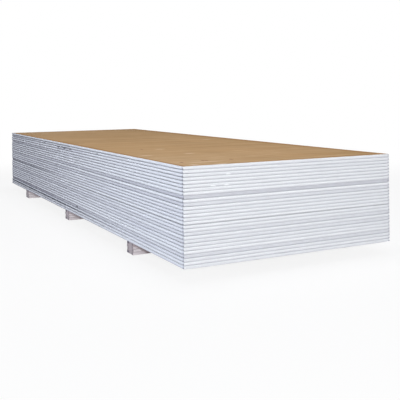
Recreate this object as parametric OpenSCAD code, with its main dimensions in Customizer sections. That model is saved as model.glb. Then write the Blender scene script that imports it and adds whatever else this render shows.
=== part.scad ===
/* [Sheets] */
// Sheets in the stack
sheet_count = 28; // [1:1:40]
// Length of a sheet
sheet_l = 3657.6; // [2438.4:0.1:4876.8]
// Width of a sheet
sheet_w = 1219.2; // [900:0.1:1400]
// Thickness of a sheet, away from its tapered edges
sheet_t = 15.9; // [9.5:0.1:25.4]
// Air left between one layer and the next, as no sheet lies quite flat
sheet_gap = 0.8; // [0.1:0.1:0.9]

/* [Long edges] */
// Width of the taper along each long edge, on the face side
taper_w = 64; // [30:1:90]
// Depth of the taper where it ends at the edge
taper_depth = 1.9; // [0.5:0.1:3]
// Radius of the paper folds at a long edge
fold_r = 1.5; // [0.5:0.1:2.5]

/* [Cut ends] */
// Width of the bevel that handling leaves along the arrises of a cut end
end_ease = 1.5; // [0.2:0.1:3]

/* [Lay of the stack] */
// Most that a sheet's end lies out of line with the rest
end_stagger = 0.3; // [0:0.1:5]
// Most that a sheet's long side lies out of line with the rest
side_stagger = 0.3; // [0:0.1:5]
// Most that a sheet is turned about its near end, in degrees
skew = 0.006; // [0:0.002:0.1]
// Places of the sheets that lie back, counted from the bottom
stray_sheets = [4, 6, 8, 10, 14, 18, 20, 24, 27]; // [1:1:40]
// How far each of these lies back from the near end, and there from the near long side
near_setbacks = [2.5, 0, 2, 2, 0, 2, 4, 0.5, 0]; // [0:0.5:12]
// How far each of these lies back from the near long side at the far end
far_setbacks = [4, 1, 0, 1.5, 3.5, 1, 0.5, 3, 3]; // [0:0.5:12]

/* [Bearers] */
// Bearers under the stack
bearer_count = 3; // [2:1:5]
// Width of a bearer, along the sheets
bearer_w = 88.9; // [60:0.1:160]
// Board strips glued up into one bearer
ply_count = 4; // [2:1:6]
// Thickness of a board strip
ply_t = 15.9; // [9.5:0.1:25.4]
// Most that a strip lies out of line with the others of its bearer
ply_stagger = 0.8; // [0:0.1:3]
// Distance from the sheets' near end to the middle of the nearest bearer
near_overhang = 687; // [150:1:900]
// Distance from the sheets' far end to the middle of the nearest bearer
far_overhang = 566; // [150:1:900]
// Distance from the sheets' long sides in to the ends of a bearer
bearer_inset = 8; // [0:1:60]

/* [Hidden] */
$fn = 48;
board_white = [0.86, 0.87, 0.90];
kraft_brown = [0.69, 0.57, 0.43];
bearer_grey = [0.70, 0.67, 0.69];

// Tapered edge: the slope of its face, and the centres of the folds at the back and the face
taper_angle = atan2(taper_depth, taper_w);
fold_y = sheet_w / 2 - fold_r;
back_fold_z = sheet_t - fold_r;
face_fold_z = taper_depth + fold_r * (1 - sin(taper_angle)) / cos(taper_angle);

// The slope runs on this far into the fold, so that the two meet in one edge
slope_tuck = 0.002;

// Heights of the layers, and the bearers' length and spacing
bearer_h = ply_count * ply_t;
layer_h = sheet_t + sheet_gap;
bearer_l = sheet_w - 2 * bearer_inset;
bearer_pitch = (sheet_l - near_overhang - far_overhang) / (bearer_count - 1);

// The small faults in the lay follow a sine, which this turn from sheet to sheet keeps uneven
lay_turn = 137.5;
end_phase = 155;
side_phase = 125;
skew_phase = 140;
bearer_turn = 70;

function two_digits(i) = str(i < 10 ? "0" : "", i);
function sheet_name(i) = str("sheet_", two_digits(i));
function bearer_name(i) = str("bearer_", i);

// Lay of sheet i: how far it lies back from the near end and side, its turn and its height
function lay(i, phase) = sin(i * lay_turn + phase);
function stray(i, setbacks) = let (found = search(i, stray_sheets)) len(found) > 0 ? setbacks[found[0]] : 0;
function end_shift(i) = -stray(i, near_setbacks) - end_stagger * lay(i, end_phase);
function side_shift(i) = stray(i, near_setbacks) + side_stagger * lay(i, side_phase);
function stray_turn(i) = atan2(stray(i, far_setbacks) - stray(i, near_setbacks), sheet_l);
function sheet_turn(i) = -stray_turn(i) - skew * lay(i, skew_phase);
function sheet_z(i) = bearer_h + sheet_gap + (i - 1) * layer_h;

// Section across a sheet that lies on its face, which tapers up to both long edges
module sheet_section() {
    slope_y = fold_y + (fold_r - slope_tuck) * sin(taper_angle);
    slope_z = face_fold_z - (fold_r - slope_tuck) * cos(taper_angle);
    right_side = [
        [sheet_w / 2 - taper_w, 0],
        [slope_y, slope_z],
        [fold_y, face_fold_z],
        [sheet_w / 2, face_fold_z],
        [sheet_w / 2, back_fold_z],
        [fold_y, back_fold_z],
        [fold_y, sheet_t]
    ];
    last = len(right_side) - 1;
    left_side = [for (k = [0:last]) [-right_side[last - k][0], right_side[last - k][1]]];
    polygon(concat(right_side, left_side));
    for (side = [-1, 1], fold_z = [face_fold_z, back_fold_z])
        translate([side * fold_y, fold_z])
            circle(r = fold_r);
}

// Square bar that cuts the bevel along one arris when it lies on it corner down
module ease_bar() {
    side = sqrt(2) * end_ease;
    rotate([0, 45, 0])
        cube([side, 2 * sheet_w, side], center = true);
}

// One sheet with its length along X and its back up, its cut ends bevelled at the face and the back
module board() {
    difference() {
        rotate([90, 0, 90])
            linear_extrude(height = sheet_l, center = true)
                sheet_section();
        for (end = [-1, 1], arris_z = [0, sheet_t])
            translate([end * sheet_l / 2, 0, arris_z])
                ease_bar();
    }
}

// Sheet i in its place, turned about the middle of its near end; the top one shows its brown back
module sheet(i) {
    color(i == sheet_count ? kraft_brown : board_white)
        translate([sheet_l / 2 + end_shift(i), side_shift(i), sheet_z(i)])
            rotate(sheet_turn(i))
                translate([-sheet_l / 2, 0, 0])
                    board();
}

// Bearer i: strips of board glued flat on one another, across the stack
module bearer(i) {
    bearer_x = far_overhang + (i - 1) * bearer_pitch - sheet_l / 2;
    color(bearer_grey)
        for (ply = [1:ply_count])
            translate([
                bearer_x - bearer_w / 2 + ply_stagger * lay(ply, i * bearer_turn),
                -bearer_l / 2 + ply_stagger * lay(ply, -i * bearer_turn),
                (ply - 1) * ply_t
            ])
                cube([bearer_w, bearer_l, ply_t]);
}

for (i = [1:bearer_count]) bearer(i);
for (i = [1:sheet_count]) sheet(i);
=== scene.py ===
"""A stack of drywall sheets on board bearers, dressed and lit around its CAD frame."""

import math

import bpy
from mathutils import Euler, Matrix, Vector


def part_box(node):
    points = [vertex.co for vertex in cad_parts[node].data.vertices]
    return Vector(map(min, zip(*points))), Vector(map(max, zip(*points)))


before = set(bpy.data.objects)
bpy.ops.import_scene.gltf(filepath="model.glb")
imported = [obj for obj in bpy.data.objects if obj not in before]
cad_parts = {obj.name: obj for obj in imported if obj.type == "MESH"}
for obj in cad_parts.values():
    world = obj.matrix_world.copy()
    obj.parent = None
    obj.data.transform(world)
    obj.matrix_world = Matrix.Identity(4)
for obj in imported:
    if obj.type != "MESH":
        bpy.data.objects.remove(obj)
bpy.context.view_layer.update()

# Names and sizes read from the frame, in metres
SHEETS = sorted(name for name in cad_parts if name.startswith("sheet_"))
BEARERS = sorted(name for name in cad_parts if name.startswith("bearer_"))
BOTTOM_LOW, BOTTOM_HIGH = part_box(SHEETS[0])
TOP_LOW, TOP_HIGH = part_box(SHEETS[-1])
TOP_INDEX = len(SHEETS) - 1
SHEET_T = BOTTOM_HIGH.z - BOTTOM_LOW.z
LAYER_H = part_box(SHEETS[1])[0].z - BOTTOM_LOW.z
SHEET_GAP = LAYER_H - SHEET_T
FAR_BEARER_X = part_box(BEARERS[0])[1].x
NEAR_BEARER_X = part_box(BEARERS[-1])[0].x
BEARER_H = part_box(BEARERS[0])[1].z

# Strips of board in a bearer, as many as the part's source glues up
PLY_COUNT = 4
PLY_T = BEARER_H / PLY_COUNT

# Colours in 8-bit sRGB
KRAFT = (189, 152, 109)
KRAFT_DARK = (176, 141, 98)
KRAFT_PALE = (214, 184, 150)
KRAFT_RUB = (232, 208, 180)
KRAFT_EDGE = (160, 117, 68)
KRAFT_DOT = (128, 80, 56)
EDGE_PAPER = (227, 233, 244)
EDGE_PAPER_DIM = (208, 213, 228)
# Painted shade at the feet of the long edges
EDGE_FOOT_SHADE = (110, 97, 110)
# Painted shade on long edges that lie back
EDGE_RECESS_SHADE = (138, 138, 153)
# Darker bands at the ends of the long edges and at the back corner of the cut ends
EDGE_END_DARK = (98, 101, 124)
EDGE_NICK = (66, 68, 80)
# Painted shade in joints that gape
JOINT_GAP_SHADE = (52, 52, 64)
# Pale lap on the covered backs, painted paler as light in the joints
JOINT_LAP_LIGHT = (240, 242, 250)
FACE_PAPER = (240, 240, 240)
CORE = (240, 242, 245)
CORE_DIM = (218, 221, 226)
# Painted shade at the feet of the cut ends
CORE_FOOT_SHADE = (210, 210, 216)
# Painted shade on cut ends that lie back
CORE_RECESS_SHADE = (200, 201, 208)
BEARER_PALE = (246, 239, 242)
BEARER_DIM = (220, 210, 215)
BEARER_JOINT = (184, 172, 176)
# Sawn ends of the bearers painted in shade, with darker arrises and painted shadow in their far corners
BEARER_END_SHADE = (172, 165, 172)
BEARER_ARRIS_SHADE = (112, 105, 114)
BEARER_CORNER_SHADOW = (48, 50, 76)
# Painted shadow of the stack on the bearers
BEARER_SHADOW = (150, 128, 130)
FLOOR = (246, 246, 248)

# Finish of the surfaces
BOARD_ROUGHNESS = 0.85
BOARD_SPECULAR = 0.06
BEARER_ROUGHNESS = 0.9
BEARER_SPECULAR = 0.1

# Noises, as cycles a metre along x, y and z, then detail and roughness
PULP_CLOUDS = ((1.6, 2.6, 1.0), 4.0, 0.6)
ROLLER_BANDS = ((26.0, 0.9, 1.0), 3.0, 0.55)
FIBRES = ((60.0, 420.0, 1.0), 3.0, 0.6)
RUB_STREAKS = ((48.0, 5.0, 1.0), 2.0, 0.5)
PAPER_SLACK = ((7.0, 7.0, 90.0), 2.0, 0.5)
EDGE_STAINS = ((1.3, 1.0, 1 / LAYER_H), 3.0, 0.6)
CORE_GRIT = ((1.0, 260.0, 420.0), 4.0, 0.65)
SAW_DRAG = ((1.0, 9.0, 240.0), 2.0, 0.5)
STRIP_GRIT = ((70.0, 70.0, 320.0), 4.0, 0.65)
STRIP_STAINS = ((6.0, 6.0, 50.0), 3.0, 0.6)
RAGGED_SCALE = 90.0

# Middle of the values of noise and of the places in a piece's own box, which both go from 0 to 1
MIDDLE = 0.5

# Each fade below is (where it starts, where it is full). Two more numbers give its strengths there, which
# are otherwise 0 and 1. Places are in metres unless a comment says otherwise.

# Fades of the brown back's noises, by their value
CLOUDY = (0.3, 0.7)
BANDED = (0.4, 0.75, 0.0, 0.35)
FIBROUS = (0.5, 0.8, 0.0, 0.25)
STREAKED = (0.58, 0.72, 0.0, 0.8)

# Fades over the brown back: it is darker towards the back side, and rubbed paler near the near corner
BACK_SIDE_DARK = (0.25, TOP_HIGH.y, 0.0, 0.8)
NEAR_END = (TOP_HIGH.x - 1.3, TOP_HIGH.x - 0.1)
NEAR_SIDE_PALE = (0.2, TOP_LOW.y, 0.0, 0.3)

# Dark margin of the brown back: its width along x, what is added to it along y, and where and how dark it
# is at its darkest
MARGIN_BY_X = (0.0, TOP_HIGH.x, 0.06, 0.03)
MARGIN_BY_Y = (0.0, TOP_HIGH.y, 0.0, 0.06)
MARGIN_DARKEST = 0.008
MARGIN_STRENGTH = 0.8

# Pale lap on the margins of the covered backs, by the distance from their edges
PALE_LAP_MARGIN = (0.06, 0.04)

# Marks on the top sheet's back: dots as (x, y), and rubs as (x, y, half their length)
DARK_DOTS = ((0.755, -0.371), (1.649, -0.53), (1.614, -0.398), (1.624, -0.382), (1.635, -0.249))
DOT_STRENGTH = 0.85
PALE_RUBS = (
    (1.19, -0.52, 0.06), (0.81, -0.274, 0.05), (1.776, -0.53, 0.04), (1.798, -0.393, 0.06),
    (1.681, -0.41, 0.14), (1.194, -0.264, 0.05), (0.148, 0.39, 0.05),
)
RUB_HALF_WIDTH = 0.022
RUB_SOFTNESS = 0.8
RUB_STRENGTH = 0.75
MARK_REACH_Z = 1.0
DOT_RADII = (0.025, 0.0065, MARK_REACH_Z)
BACK_RAGGEDNESS = 0.012

# Depth behind the flush sheets, from where it counts to where a sheet lies clearly back or its painted shade
# is darkest
FLUSH = 0.0006
LIES_BACK = (FLUSH, 0.0025)
RECESS_SHADE_FULL = (FLUSH, 0.0042)

# Long edges: stains by the value of noise, and the strength of the painted shade at the feet and on sheets
# that lie back, which grows to the far end
EDGE_STAINED = (0.3, 0.7)
SHADE_TO_FAR = (TOP_HIGH.x, TOP_LOW.x + 1.0, 0.3, 0.97)

# Painted shade at the foot of a long edge, by height in the sheet: where it ends on covered sheets and on the
# top one, where it is full, and its strength on a sheet that lies back
COVERED_FOOT_TOP = 0.0105
TOP_SHEET_FOOT_TOP = 0.007
FOOT_FULL = 0.002
STRAY_FOOT_STRENGTH = 0.8

# Shade on a sheet that lies back under the next one, by height in the sheet
UNDER_NEXT = (0.0105, 0.0145, 0.0, 0.45)

# Darker bands at the two ends of a long edge, by place and by height in the sheet
NEAR_END_BAND = (TOP_HIGH.x - 0.02, TOP_HIGH.x - 0.006)
FAR_END_BAND = (TOP_LOW.x + 0.06, TOP_LOW.x + 0.02)
END_BAND_UP = (0.01, 0.004, 0.2, 0.8)

# Painted shade in joints of the long edges that gape: height counted in layers, half width, and the fade
# along x
SEAMS = (
    (2.18, 0.008, (1.4, -0.63, 0.0, 0.95)), (12.0, 0.004, (-0.1, 0.6, 0.0, 0.55)),
    (13.5, 0.006, (0.0, -1.0, 0.0, 0.45)), (27.0, 0.005, (1.8, 1.0, 0.0, 0.4)),
)

# Nicks in the near long side, as (x, height counted in layers, half length, strength)
EDGE_NICKS = (
    (-0.635, 26.25, 0.03, 0.9), (-0.25, 25.95, 0.05, 0.9), (-0.095, 26.0, 0.04, 0.9),
    (0.052, 25.95, 0.04, 0.9), (-0.1, 26.0, 0.2, 0.5), (0.625, 26.4, 0.03, 0.35),
    (-0.31, 17.9, 0.03, 0.55), (0.188, 3.6, 0.03, 0.8),
)
NICK_REACH_Y = 0.08
NICK_HALF_HEIGHT = 0.007
EDGE_RAGGEDNESS = 0.006

# Cut ends: grit and drag marks by the value of noise, how far a sheet's own tone goes, and the painted shade
# at the foot by height in the sheet
GRITTY = (0.4, 0.75)
DRAGGED = (0.45, 0.7, 0.0, 0.5)
CHANCE_STRENGTH = 0.5
CORE_FOOT = (0.009, 0.001)

# Painted shade in a joint that gapes at the cut ends: height counted in layers, and the fade by distance from
# it
END_SEAM = 12.0
END_GAP_SHADE = (0.0045, 0.0015, 0.0, 0.28)

# Darker band at the corner of the cut ends at the back side, by place and by height in the sheet
BACK_CORNER = (TOP_HIGH.y - 0.013, TOP_HIGH.y - 0.006)
CORNER_BAND_UP = (0.008, 0.003, 0.1, 0.7)

# Crumbs of gypsum that fill the joints at the near end, as (y, height counted in layers)
CRUMBS = ((-0.375, 25.1), (-0.456, 22.1), (-0.385, 22.1))
CRUMB_RADII = (0.05, 0.018, 0.007)

# Least part of a normal along x on a cut end or y on a bearer's end, and along z on a flat back or face
END_NORMAL = 0.5
FLAT_NORMAL = 0.97

# Depths of the relief of board: pits in the core, and slack and fibres in the paper
PIT_DEPTH = 0.0012
SLACK_DEPTH = 0.0002
FIBRE_DEPTH = 0.0002

# Bearers: stains and grit by the value of noise
STRIP_STAINED = (0.3, 0.7)
STRIP_GRITTY = (0.45, 0.75, 0.0, 0.5)

# Painted shadow of the stack on the bearers: how steeply it comes down further in, how uneven it is, the
# heights where it starts and is full, and its strength on the far bearer, which is painted palest, and on the
# near one
SHADOW_SLOPE = 0.6
SHADOW_UNEVENNESS = 0.02
SHADOW_START = BEARER_H - 0.014
SHADOW_FULL = BEARER_H - 0.004
FAR_SHADOW = 0.3
NEAR_SHADOW = 0.58

# Sawn ends of the bearers, painted in shade: how strongly, then darker arrises and painted shadow in the far
# corners, as shares of the width or height from the middle
END_SHADE_STRENGTH = 0.85
ARRIS_DARK = (0.1, 0.5)
CORNER_SHADOW_ACROSS = (0.0, -0.3)
CORNER_SHADOW_UP = (0.2, 0.4)

# Glue lines by the distance from them, and the depths of their grooves and of the grit
GLUE_LINE = (0.0018, 0.0006)
GLUE_GROOVE = (0.0, 0.002, 0.0, 0.0002)
STRIP_GRIT_DEPTH = 0.0012

# Floor: half its width, and the share of white that it shows by the distance from the middle
FLOOR_HALF = 30.0
FLOOR_WHITE = (2.4, 5.0, 0.84, 1.0)

# Camera, set where the photograph was taken from, with its angles in degrees
CAMERA_AT = Vector((4.596, -1.941, 0.843))
CAMERA_LEVEL = 90.0
CAMERA_AZIMUTH = 62.81
CAMERA_TILT = -0.22
CAMERA_ROLL = -0.6
CAMERA_LENS = 61.22
CAMERA_SENSOR = 36.0
CAMERA_SHIFT_Y = -0.25

# Light: the backdrop's white, the sky's strength and colour, then each lamp's place, target, width and power
WHITE = (1.0, 1.0, 1.0)
SKY_STRENGTH = 0.3
SKY_COLOUR = (0.94, 0.97, 1.0)
LAMPS = {
    "front": ((10.0, 4.0, 3.0), (1.8, 0.0, 0.3), 3.0, 155.0),
    "key": ((6.5, -2.2, 1.2), (1.2, -0.6, 0.1), 0.7, 106.0),
    "side": ((1.8, -4.6, 0.75), (-1.0, -0.6, 0.2), 1.3, 60.0),
    "top": ((1.0, 0.0, 6.0), (1.0, 0.0, 0.3), 4.0, 156.0),
    "back": ((-1.5, 7.5, 0.5), (-0.5, 0.6, 0.3), 0.9, 115.0),
    "far": ((-7.0, 1.0, 0.5), (-1.8, 0.0, 0.3), 0.9, 70.0),
}


def linear(rgb):
    """An 8-bit sRGB colour as the linear RGBA that shader sockets take."""
    parts = [value / 255 for value in rgb]
    curve = [p / 12.92 if p <= 0.04045 else ((p + 0.055) / 1.055) ** 2.4 for p in parts]
    return (*curve, 1.0)


def layer_z(layers):
    """The height above the floor of a height counted in layers."""
    return BOTTOM_LOW.z + layers * LAYER_H


class Graph:
    """The node tree of a material or world, with one short method for each kind of node in use."""

    OUTPUTS = {
        bpy.types.Material: "ShaderNodeOutputMaterial",
        bpy.types.World: "ShaderNodeOutputWorld",
    }

    # A Mix node's sockets for colours come after those for numbers and vectors
    MIX_COLOURS = (6, 7)
    MIX_RESULT = 2

    def __init__(self, owner):
        owner.use_nodes = True
        self.owner = owner
        self.tree = owner.node_tree
        self.tree.nodes.clear()

    def link(self, value, socket):
        """Feeds a socket from another one, or sets it to a constant."""
        if isinstance(value, bpy.types.NodeSocket):
            self.tree.links.new(value, socket)
        elif value is not None:
            socket.default_value = value

    def node(self, kind, **settings):
        made = self.tree.nodes.new(kind)
        for key, value in settings.items():
            setattr(made, key, value)
        return made

    def math(self, operation, first, second=None):
        made = self.node("ShaderNodeMath", operation=operation)
        self.link(first, made.inputs[0])
        self.link(second, made.inputs[1])
        return made.outputs[0]

    def times(self, first, second):
        return self.math("MULTIPLY", first, second)

    def minus(self, first, second):
        return self.math("SUBTRACT", first, second)

    def size(self, value):
        """A value without its sign."""
        return self.math("ABSOLUTE", value)

    def inset(self, value, low, high):
        """How far a value lies inside the nearer of two limits."""
        return self.math("MINIMUM", self.minus(value, low), self.minus(high, value))

    def ramp(self, value, low, high, out_low=0.0, out_high=1.0):
        """Smooth step from out_low at low to out_high at high."""
        made = self.node("ShaderNodeMapRange", interpolation_type="SMOOTHSTEP")
        for number, socket in zip((value, low, high, out_low, out_high), made.inputs):
            self.link(number, socket)
        return made.outputs[0]

    def between(self, share, none, full):
        """Smooth step from none to full as share goes from 0 to 1."""
        return self.ramp(share, 0.0, 1.0, none, full)

    def mix(self, factor, first, second):
        made = self.node("ShaderNodeMix", data_type="RGBA")
        self.link(factor, made.inputs[0])
        for colour, number in zip((first, second), self.MIX_COLOURS):
            self.link(colour, made.inputs[number])
        return made.outputs[self.MIX_RESULT]

    def paint(self, colour, factor, rgb):
        """A colour with an 8-bit sRGB one laid over it by factor."""
        return self.mix(factor, colour, linear(rgb))

    def vector(self, operation, first, second=None, output=0):
        made = self.node("ShaderNodeVectorMath", operation=operation)
        self.link(first, made.inputs[0])
        self.link(second, made.inputs[1])
        return made.outputs[output]

    def length(self, vector):
        return self.vector("LENGTH", vector, output="Value")

    def split(self, vector):
        made = self.node("ShaderNodeSeparateXYZ")
        self.link(vector, made.inputs[0])
        return made.outputs

    def noise(self, place, scales, detail, roughness):
        """Noise with its own scale along each axis, in cycles a metre."""
        made = self.node("ShaderNodeTexNoise")
        self.link(self.vector("MULTIPLY", place, scales), made.inputs["Vector"])
        self.link(1.0, made.inputs["Scale"])
        self.link(detail, made.inputs["Detail"])
        self.link(roughness, made.inputs["Roughness"])
        return made.outputs["Fac"]

    def chance(self, number):
        """A random value from 0 to 1 for each whole number."""
        made = self.node("ShaderNodeTexWhiteNoise", noise_dimensions="1D")
        self.link(number, made.inputs["W"])
        return made.outputs["Value"]

    def ragged(self, place, amount):
        """The place shifted about by noise, which makes the outline of a spot ragged."""
        made = self.node("ShaderNodeTexNoise")
        self.link(place, made.inputs["Vector"])
        self.link(RAGGED_SCALE, made.inputs["Scale"])
        shift = self.vector("SUBTRACT", made.outputs["Color"], [MIDDLE] * 3)
        return self.vector("ADD", place, self.vector("MULTIPLY", shift, [amount] * 3))

    def spots(self, place, centres, radii, softness=0.5, strength=1.0):
        """Full strength inside an ellipsoid around each centre, fading to 0 at its radii."""
        scale = tuple(1 / radius for radius in radii)
        mask = None
        for centre in centres:
            offset = self.vector("SUBTRACT", place, centre)
            distance = self.length(self.vector("MULTIPLY", offset, scale))
            spot = self.ramp(distance, 1.0, 1.0 - softness, 0.0, strength)
            mask = spot if mask is None else self.math("MAXIMUM", mask, spot)
        return mask

    def position(self):
        return self.node("ShaderNodeTexCoord").outputs["Object"]

    def box_position(self):
        """The place in the piece's own box, from 0 to 1 along each axis."""
        return self.node("ShaderNodeTexCoord").outputs["Generated"]

    def facing(self):
        """How far the surface faces along each axis, from -1 to 1."""
        return self.split(self.node("ShaderNodeNewGeometry").outputs["True Normal"])

    def bump(self, height):
        """Normal of a surface raised by height, in metres."""
        made = self.node("ShaderNodeBump")
        self.link(height, made.inputs["Height"])
        self.link(1.0, made.inputs["Distance"])
        return made.outputs["Normal"]

    def surface(self, colour, roughness, normal, specular):
        """Ends the tree with one matte surface."""
        shader = self.node("ShaderNodeBsdfPrincipled")
        self.link(colour, shader.inputs["Base Color"])
        self.link(roughness, shader.inputs["Roughness"])
        self.link(normal, shader.inputs["Normal"])
        self.link(specular, shader.inputs["Specular IOR Level"])
        return self.end(shader)

    def backdrop(self, lit, white, share=1.0):
        """Ends the tree: rays that see the backdrop get this share of white, and all others get lit."""
        path = self.node("ShaderNodeLightPath").outputs
        reflected = self.math("MAXIMUM", path["Is Glossy Ray"], path["Is Transmission Ray"])
        seen = self.math("MAXIMUM", path["Is Camera Ray"], reflected)
        blend = self.node("ShaderNodeMixShader")
        self.link(self.times(seen, share), blend.inputs[0])
        self.link(lit.outputs[0], blend.inputs[1])
        self.link(white.outputs[0], blend.inputs[2])
        return self.end(blend)

    def end(self, shader):
        """Links the shader to the tree's output, and returns the material or world."""
        output = self.node(self.OUTPUTS[type(self.owner)])
        self.link(shader.outputs[0], output.inputs["Surface"])
        return self.owner


def kraft_colour(g, place, fibres, is_covered):
    """Brown back paper: pulp clouds, faint roller bands across it, fibres, rubs, dots and darker margins."""
    x, y, _ = g.split(place)
    clouds = g.noise(place, *PULP_CLOUDS)
    bands = g.noise(place, *ROLLER_BANDS)
    colour = g.paint(linear(KRAFT_DARK), g.ramp(clouds, *CLOUDY), KRAFT)
    colour = g.paint(colour, g.ramp(y, *BACK_SIDE_DARK), KRAFT_DARK)
    colour = g.paint(colour, g.ramp(bands, *BANDED), KRAFT_PALE)
    colour = g.paint(colour, g.ramp(fibres, *FIBROUS), KRAFT_PALE)

    # Pale rubs lie across the sheet, most of them near its near end
    near_end = g.ramp(x, *NEAR_END)
    colour = g.paint(colour, g.times(near_end, g.ramp(y, *NEAR_SIDE_PALE)), KRAFT_PALE)
    streaks = g.noise(place, *RUB_STREAKS)
    colour = g.paint(colour, g.times(g.ramp(streaks, *STREAKED), near_end), KRAFT_PALE)
    ragged = g.ragged(place, BACK_RAGGEDNESS)
    for rub_x, rub_y, half in PALE_RUBS:
        radii = (RUB_HALF_WIDTH, half, MARK_REACH_Z)
        rub = g.spots(ragged, [(rub_x, rub_y, TOP_HIGH.z)], radii, RUB_SOFTNESS, RUB_STRENGTH)
        colour = g.paint(colour, rub, KRAFT_RUB)
    dots = g.spots(ragged, [(*dot, TOP_HIGH.z) for dot in DARK_DOTS], DOT_RADII, strength=DOT_STRENGTH)
    colour = g.paint(colour, dots, KRAFT_DOT)

    # Along the edges the paper is darker, where it is glued over the fold
    from_side = g.minus(TOP_HIGH.y, g.size(y))
    from_end = g.minus(TOP_HIGH.x, g.size(x))
    from_edge = g.math("MINIMUM", from_side, from_end)
    margin = g.math("ADD", g.ramp(x, *MARGIN_BY_X), g.ramp(y, *MARGIN_BY_Y))
    dark = g.ramp(from_edge, margin, MARGIN_DARKEST, 0.0, MARGIN_STRENGTH)
    colour = g.paint(colour, dark, KRAFT_EDGE)

    # The face paper laps onto the margins of the covered backs, painted paler there to lighten the shade in
    # the joints between the sheets
    pale_lap = g.times(g.ramp(from_edge, *PALE_LAP_MARGIN), is_covered)
    return g.paint(colour, pale_lap, JOINT_LAP_LIGHT)


def edge_colour(g, place, index, height, is_covered):
    """White paper folded round a long edge: painted shade at the foot of each sheet, on sheets that lie back
    and in joints that gape, darker bands at the ends, and nicks.
    """
    x, y, z = g.split(place)
    stains = g.noise(place, *EDGE_STAINS)
    tone = g.times(g.chance(index), g.ramp(stains, *EDGE_STAINED))
    colour = g.paint(linear(EDGE_PAPER), tone, EDGE_PAPER_DIM)

    # Painted shade at the foot of each edge, stronger towards the far end
    shade_to_far = g.ramp(x, *SHADE_TO_FAR)
    back_from_side = g.inset(y, TOP_LOW.y, TOP_HIGH.y)
    lies_back = g.ramp(back_from_side, *LIES_BACK)
    foot_top = g.between(is_covered, TOP_SHEET_FOOT_TOP, COVERED_FOOT_TOP)
    foot = g.times(g.ramp(height, foot_top, FOOT_FULL), g.between(lies_back, 1.0, STRAY_FOOT_STRENGTH))
    colour = g.paint(colour, g.times(foot, shade_to_far), EDGE_FOOT_SHADE)

    # Painted shade on sheets that lie back, and more of it high up, where the next sheet hangs over
    recess_shade = g.times(g.ramp(back_from_side, *RECESS_SHADE_FULL), shade_to_far)
    under_next = g.times(lies_back, g.ramp(height, *UNDER_NEXT))
    colour = g.paint(colour, g.math("MAXIMUM", recess_shade, under_next), EDGE_RECESS_SHADE)

    # Darker bands at both ends, painted shade in joints that gape, and nicks
    end_band = g.math("MAXIMUM", g.ramp(x, *NEAR_END_BAND), g.ramp(x, *FAR_END_BAND))
    colour = g.paint(colour, g.times(end_band, g.ramp(height, *END_BAND_UP)), EDGE_END_DARK)
    # Painted shade in the joints that gape
    for layers, half, fade in SEAMS:
        from_seam = g.size(g.minus(z, layer_z(layers)))
        gap_shade = g.times(g.ramp(from_seam, half, half / 2), g.ramp(x, *fade))
        colour = g.paint(colour, gap_shade, JOINT_GAP_SHADE)
    ragged = g.ragged(place, EDGE_RAGGEDNESS)
    for nick_x, layers, half, strength in EDGE_NICKS:
        radii = (half, NICK_REACH_Y, NICK_HALF_HEIGHT)
        nick = g.spots(ragged, [(nick_x, TOP_LOW.y, layer_z(layers))], radii, strength=strength)
        colour = g.paint(colour, nick, EDGE_NICK)
    return colour


def core_colour(g, place, index, height, grit):
    """Bare gypsum of a cut end: chalky and pitted, with painted shade at its foot, where it lies back and in
    a joint that gapes, a darker band at the back corner, and crumbs in some joints.
    """
    x, y, z = g.split(place)
    drag = g.noise(place, *SAW_DRAG)
    colour = g.paint(linear(CORE), g.ramp(grit, *GRITTY), CORE_DIM)
    colour = g.paint(colour, g.ramp(drag, *DRAGGED), CORE_DIM)
    colour = g.paint(colour, g.times(g.chance(index), CHANCE_STRENGTH), CORE_DIM)
    # Painted shade at the foot of each cut end
    colour = g.paint(colour, g.ramp(height, *CORE_FOOT), CORE_FOOT_SHADE)
    # Painted shade on cut ends that lie back
    back_from_end = g.inset(x, TOP_LOW.x, TOP_HIGH.x)
    colour = g.paint(colour, g.ramp(back_from_end, *RECESS_SHADE_FULL), CORE_RECESS_SHADE)
    # Painted shade in the joint that gapes
    from_seam = g.size(g.minus(z, layer_z(END_SEAM)))
    colour = g.paint(colour, g.ramp(from_seam, *END_GAP_SHADE), JOINT_GAP_SHADE)
    # A darker band at the back corner
    corner_band = g.times(g.ramp(y, *BACK_CORNER), g.ramp(height, *CORNER_BAND_UP))
    colour = g.paint(colour, corner_band, EDGE_END_DARK)
    centres = [(TOP_HIGH.x, crumb_y, layer_z(layers)) for crumb_y, layers in CRUMBS]
    crumbs = g.spots(g.ragged(place, EDGE_RAGGEDNESS), centres, CRUMB_RADII)
    return g.paint(colour, crumbs, CORE)


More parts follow.
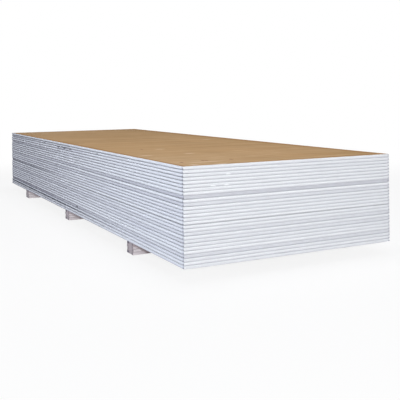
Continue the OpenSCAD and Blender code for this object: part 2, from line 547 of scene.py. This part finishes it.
def board_material():
    """Gypsum board: brown back, pale face, papered long edges and bare cut ends."""
    g = Graph(bpy.data.materials.new("gypsum_board"))
    place = g.position()
    _, _, z = g.split(place)
    face_x, _, face_z = g.facing()

    # Which sheet a point is on, counted from 0 at the bottom, and its height in that sheet
    layer = g.math("DIVIDE", g.minus(z, BOTTOM_LOW.z - SHEET_GAP / 2), LAYER_H)
    index = g.math("FLOOR", layer)
    height = g.minus(g.times(g.math("FRACT", layer), LAYER_H), SHEET_GAP / 2)
    is_covered = g.math("LESS_THAN", index, TOP_INDEX - 0.5)

    fibres = g.noise(place, *FIBRES)
    grit = g.noise(place, *CORE_GRIT)
    is_end = g.math("GREATER_THAN", g.size(face_x), END_NORMAL)
    is_back = g.math("GREATER_THAN", face_z, FLAT_NORMAL)
    is_face = g.math("LESS_THAN", face_z, -FLAT_NORMAL)
    edge = edge_colour(g, place, index, height, is_covered)
    colour = g.mix(is_end, edge, core_colour(g, place, index, height, grit))
    colour = g.mix(is_back, colour, kraft_colour(g, place, fibres, is_covered))
    colour = g.paint(colour, is_face, FACE_PAPER)

    # Pits in the core, slack in the paper, and fibres on the brown backs
    pits = g.times(g.times(grit, is_end), PIT_DEPTH)
    slack = g.times(g.noise(place, *PAPER_SLACK), SLACK_DEPTH)
    hair = g.times(g.times(fibres, is_back), FIBRE_DEPTH)
    normal = g.bump(g.math("ADD", pits, g.math("ADD", slack, hair)))
    return g.surface(colour, BOARD_ROUGHNESS, normal, BOARD_SPECULAR)


def bearer_end_colour(g, z):
    """Sawn end of a bearer, painted darker as shade: darker still along its arrises, and darkest in painted
    shadow at its far top and bottom corners.
    """
    across = g.minus(g.split(g.box_position())[0], MIDDLE)
    up = g.size(g.minus(g.math("DIVIDE", z, BEARER_H), MIDDLE))
    colour = g.paint(linear(BEARER_END_SHADE), g.ramp(g.size(across), *ARRIS_DARK), BEARER_ARRIS_SHADE)
    corner_shadow = g.times(g.ramp(across, *CORNER_SHADOW_ACROSS), g.ramp(up, *CORNER_SHADOW_UP))
    return g.paint(colour, corner_shadow, BEARER_CORNER_SHADOW)


def bearer_material():
    """Board strips glued up: sawn gypsum and grey paper, with a darker line at each glue joint."""
    g = Graph(bpy.data.materials.new("bearer_strips"))
    place = g.position()
    x, y, z = g.split(place)
    _, face_y, _ = g.facing()
    grit = g.noise(place, *STRIP_GRIT)
    stains = g.noise(place, *STRIP_STAINS)

    # The bearers further from the near end are painted paler, as light that makes up for the lamps' falloff:
    # their real stains fade out there, and so does some of the painted shadow
    falloff_paint = g.ramp(x, FAR_BEARER_X, NEAR_BEARER_X)
    tone = g.times(g.ramp(stains, *STRIP_STAINED), falloff_paint)
    colour = g.paint(linear(BEARER_PALE), tone, BEARER_DIM)
    colour = g.paint(colour, g.ramp(grit, *STRIP_GRITTY), BEARER_DIM)

    # Painted shadow of the stack on them, which reaches less far down close to its sides
    depth = g.minus(TOP_HIGH.y, g.size(y))
    reach = g.math("ADD", z, g.times(depth, SHADOW_SLOPE))
    shadowed = g.math("ADD", reach, g.times(g.minus(grit, MIDDLE), SHADOW_UNEVENNESS))
    strength = g.between(falloff_paint, FAR_SHADOW, NEAR_SHADOW)
    colour = g.paint(colour, g.ramp(shadowed, SHADOW_START, SHADOW_FULL, 0.0, strength), BEARER_SHADOW)

    # The sawn ends are painted in shade
    is_end = g.math("GREATER_THAN", g.size(face_y), END_NORMAL)
    colour = g.mix(g.times(is_end, END_SHADE_STRENGTH), colour, bearer_end_colour(g, z))

    # Each glue joint is a darker line in a shallow groove
    height = g.times(g.math("FRACT", g.math("DIVIDE", z, PLY_T)), PLY_T)
    from_joint = g.inset(height, 0.0, PLY_T)
    colour = g.paint(colour, g.ramp(from_joint, *GLUE_LINE), BEARER_JOINT)
    relief = g.math("ADD", g.times(grit, STRIP_GRIT_DEPTH), g.ramp(from_joint, *GLUE_GROOVE))
    return g.surface(colour, BEARER_ROUGHNESS, g.bump(relief), BEARER_SPECULAR)


def floor_material():
    """Pale floor that shows white to the camera, keeps a soft shadow and fades into the white backdrop."""
    g = Graph(bpy.data.materials.new("studio_floor"))
    share = g.ramp(g.length(g.position()), *FLOOR_WHITE)
    matte = g.node("ShaderNodeBsdfDiffuse")
    g.link(linear(FLOOR), matte.inputs["Color"])
    return g.backdrop(matte, g.node("ShaderNodeEmission"), share)


def dress():
    """Gives each CAD node its material."""
    board = board_material()
    bearer = bearer_material()
    for name in SHEETS:
        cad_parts[name].material_slots[0].material = board
    for name in BEARERS:
        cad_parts[name].material_slots[0].material = bearer


def make_floor():
    """One wide square under the bearers."""
    mesh = bpy.data.meshes.new("floor")
    corners = [(x * FLOOR_HALF, y * FLOOR_HALF, 0.0) for x, y in ((-1, -1), (1, -1), (1, 1), (-1, 1))]
    mesh.from_pydata(corners, [], [(0, 1, 2, 3)])
    mesh.materials.append(floor_material())
    floor = bpy.data.objects.new("floor", mesh)
    bpy.context.scene.collection.objects.link(floor)


def make_lamps():
    """Soft round lamps, each turned towards its target."""
    for name, (place, target, width, power) in LAMPS.items():
        lamp = bpy.data.lights.new(name, "AREA")
        lamp.shape = "DISK"
        lamp.size = width
        lamp.energy = power
        made = bpy.data.objects.new(name, lamp)
        made.visible_camera = False
        made.location = place
        made.rotation_euler = (Vector(target) - Vector(place)).to_track_quat("-Z", "Y").to_euler()
        bpy.context.scene.collection.objects.link(made)


def make_world():
    """Even sky light, with a white backdrop where the camera looks past the floor."""
    g = Graph(bpy.data.worlds.new("studio"))
    sky = g.node("ShaderNodeBackground")
    g.link((*SKY_COLOUR, 1.0), sky.inputs["Color"])
    g.link(SKY_STRENGTH, sky.inputs["Strength"])
    white = g.node("ShaderNodeBackground")
    g.link((*WHITE, 1.0), white.inputs["Color"])
    bpy.context.scene.world = g.backdrop(sky, white)


def make_camera():
    """Camera at the photograph's viewing angle."""
    lens = bpy.data.cameras.new("camera")
    lens.lens = CAMERA_LENS
    lens.sensor_width = CAMERA_SENSOR
    lens.shift_y = CAMERA_SHIFT_Y
    camera = bpy.data.objects.new("camera", lens)
    camera.location = CAMERA_AT
    tilt = math.radians(CAMERA_LEVEL + CAMERA_TILT)
    aim = Euler((tilt, 0.0, math.radians(CAMERA_AZIMUTH))).to_matrix()
    roll = Matrix.Rotation(math.radians(CAMERA_ROLL), 3, "Z")
    camera.rotation_euler = (aim @ roll).to_euler()
    bpy.context.scene.collection.objects.link(camera)
    bpy.context.scene.camera = camera


dress()
make_floor()
make_world()
make_lamps()
make_camera()
bpy.context.scene.view_settings.view_transform = "Standard"
